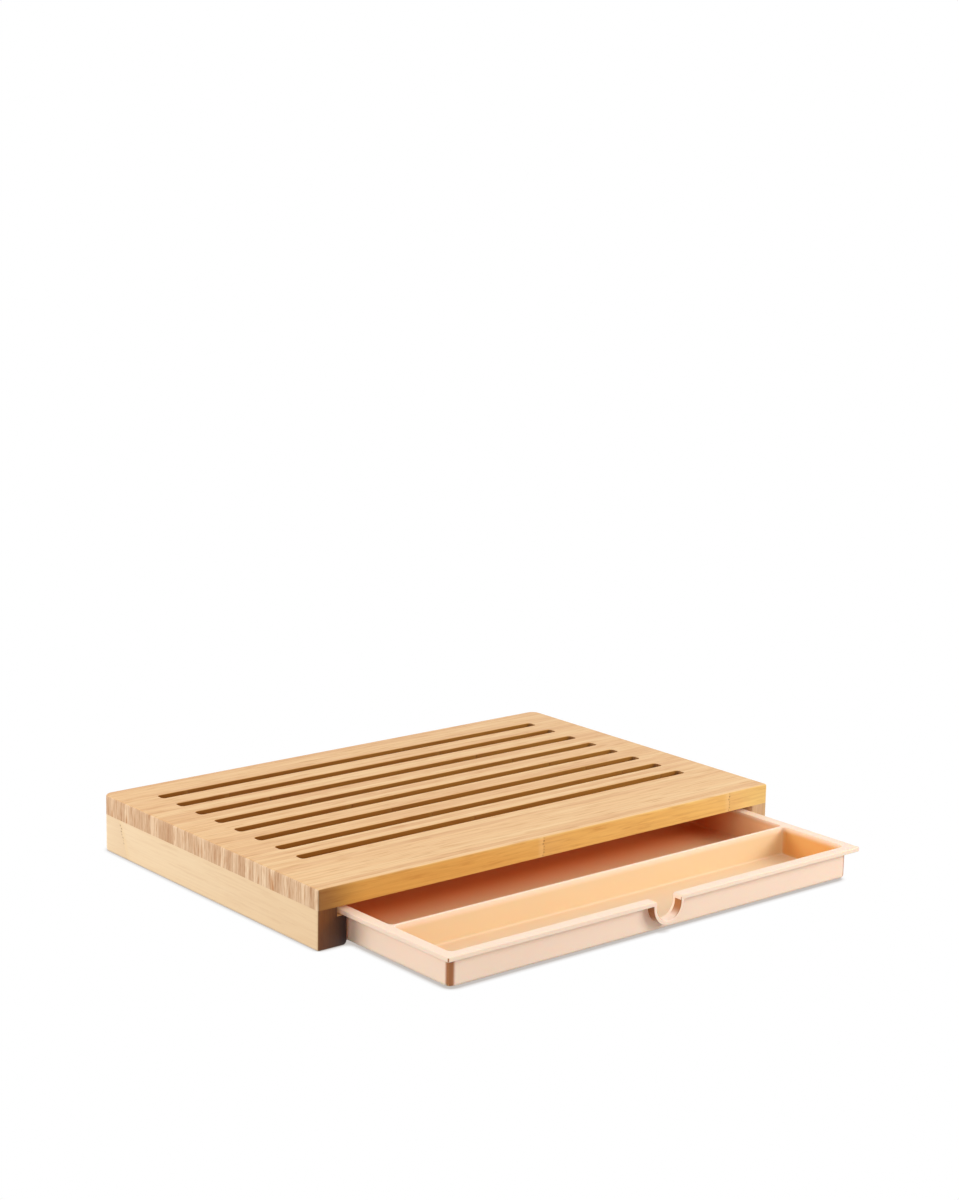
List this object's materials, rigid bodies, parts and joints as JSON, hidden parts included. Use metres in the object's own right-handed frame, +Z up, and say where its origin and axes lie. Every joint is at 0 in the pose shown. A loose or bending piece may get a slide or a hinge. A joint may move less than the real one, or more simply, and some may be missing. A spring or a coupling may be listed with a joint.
{
  "type": "cutting board with drawer trays",
  "caption": "Rectangular slotted bamboo cutting board on rails, with a shallow moulded tray with two compartments and a finger notch that slides out of the front.",
  "frame": {"origin": "on the table under the middle of the whole object's outline, with the tray pulled 122 mm out as at rest", "axes": "+X along the board's long side to the viewer's right, -Y the way that the tray pulls out, +Z up"},
  "size_m": [0.46, 0.42, 0.0465],
  "materials": {
    "bamboo_slab": "satin oiled bamboo, edge laminated",
    "bamboo_rail": "satin oiled bamboo",
    "dowel_wood": "bare turned wood",
    "tray_resin": "fine satin, injection moulded"
  },
  "bodies": {
    "board": {"slotted_board": "bamboo_slab", "left_rail": "bamboo_rail", "right_rail": "bamboo_rail", "back_rail": "bamboo_rail", "left_rail_dowel_1": "dowel_wood", "right_rail_dowel_1": "dowel_wood", "back_rail_dowel_1": "dowel_wood", "left_rail_dowel_2": "dowel_wood", "right_rail_dowel_2": "dowel_wood", "back_rail_dowel_2": "dowel_wood", "left_rail_dowel_3": "dowel_wood", "right_rail_dowel_3": "dowel_wood", "back_rail_dowel_3": "dowel_wood"},
    "tray": {"crumb_tray": "tray_resin"}
  },
  "joints": [
    {"name": "tray_slide", "type": "slide", "parent": "board", "child": "tray", "axis": [0, -1, 0], "range_m": [-0.122, 0.088]}
  ]
}
